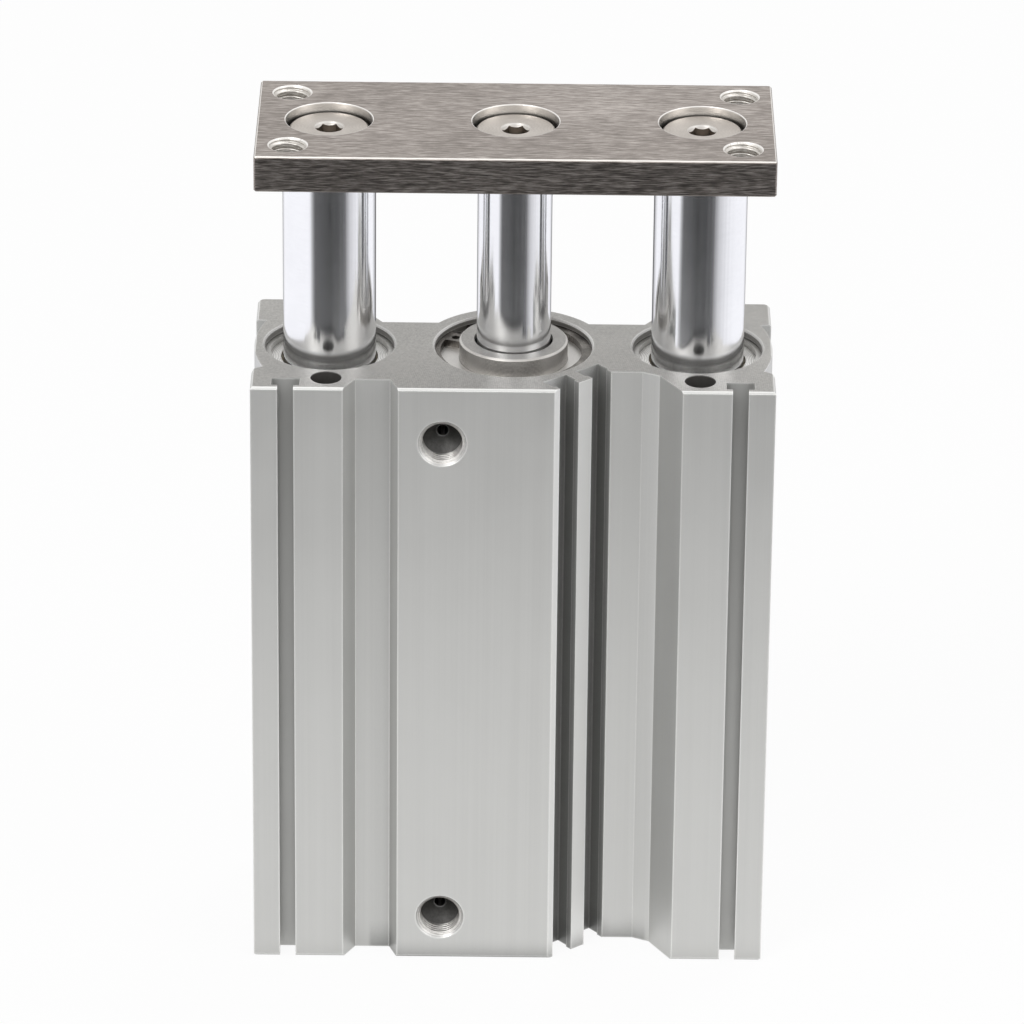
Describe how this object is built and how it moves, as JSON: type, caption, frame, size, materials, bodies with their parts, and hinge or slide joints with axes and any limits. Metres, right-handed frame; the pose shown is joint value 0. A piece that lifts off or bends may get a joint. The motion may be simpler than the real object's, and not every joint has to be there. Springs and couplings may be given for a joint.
{
  "type": "guided pneumatic cylinder",
  "caption": "Compact pneumatic cylinder in an extruded body, with a piston rod between two guide rods that carry a flat tooling plate.",
  "frame": {"origin": "centre of the body's head end face, which is also the bottom centre of the whole box", "axes": "+Z along the stroke towards the plate, +X from one guide rod to the other, -Y out of the face with the air ports"},
  "size_m": [0.112, 0.048, 0.1895],
  "materials": {
    "anodised_body": "clear anodised extrusion, fine lengthwise lines",
    "cover_aluminium": "turned and clear anodised",
    "plate_steel": "nickel plated, coarse brushing across",
    "screw_nickel": "nickel plated, turned",
    "rod_chrome": "hard chromed and polished",
    "ring_steel": "phosphated spring steel",
    "bush_bronze": "bored bearing bronze",
    "seal_rubber": "smooth moulded rubber",
    "felt_wool": "oiled wool felt",
    "holder_metal": "plain turned ring",
    "wear_plastic": "moulded bearing plastic",
    "magnet_plastic": "plastic-bonded magnet"
  },
  "bodies": {
    "housing": {"cylinder_body": "anodised_body", "rod_cover": "cover_aluminium", "rod_bushing": "bush_bronze", "rod_seal": "seal_rubber", "rod_cover_gasket": "seal_rubber", "rod_retaining_ring": "ring_steel", "head_cover": "cover_aluminium", "head_cover_gasket": "seal_rubber", "head_retaining_ring": "ring_steel", "guide_bushing_left_upper": "bush_bronze", "guide_bushing_left_lower": "bush_bronze", "guide_felt_left": "felt_wool", "felt_holder_left": "holder_metal", "guide_retaining_ring_left": "ring_steel", "guide_bushing_right_upper": "bush_bronze", "guide_bushing_right_lower": "bush_bronze", "guide_felt_right": "felt_wool", "felt_holder_right": "holder_metal", "guide_retaining_ring_right": "ring_steel"},
    "carriage": {"end_plate": "plate_steel", "piston_rod": "rod_chrome", "guide_rod_left": "rod_chrome", "guide_rod_right": "rod_chrome", "piston_rod_screw": "screw_nickel", "guide_rod_screw_left": "screw_nickel", "guide_rod_screw_right": "screw_nickel", "piston": "cover_aluminium", "piston_seal": "seal_rubber", "magnet_ring": "magnet_plastic", "wear_ring": "wear_plastic", "bumper_upper": "seal_rubber", "bumper_lower": "seal_rubber", "piston_screw": "screw_nickel"}
  },
  "joints": [
    {"name": "plate_slide", "type": "slide", "parent": "housing", "child": "carriage", "axis": [0, 0, 1], "range_m": [-0.034, 0.066]}
  ]
}
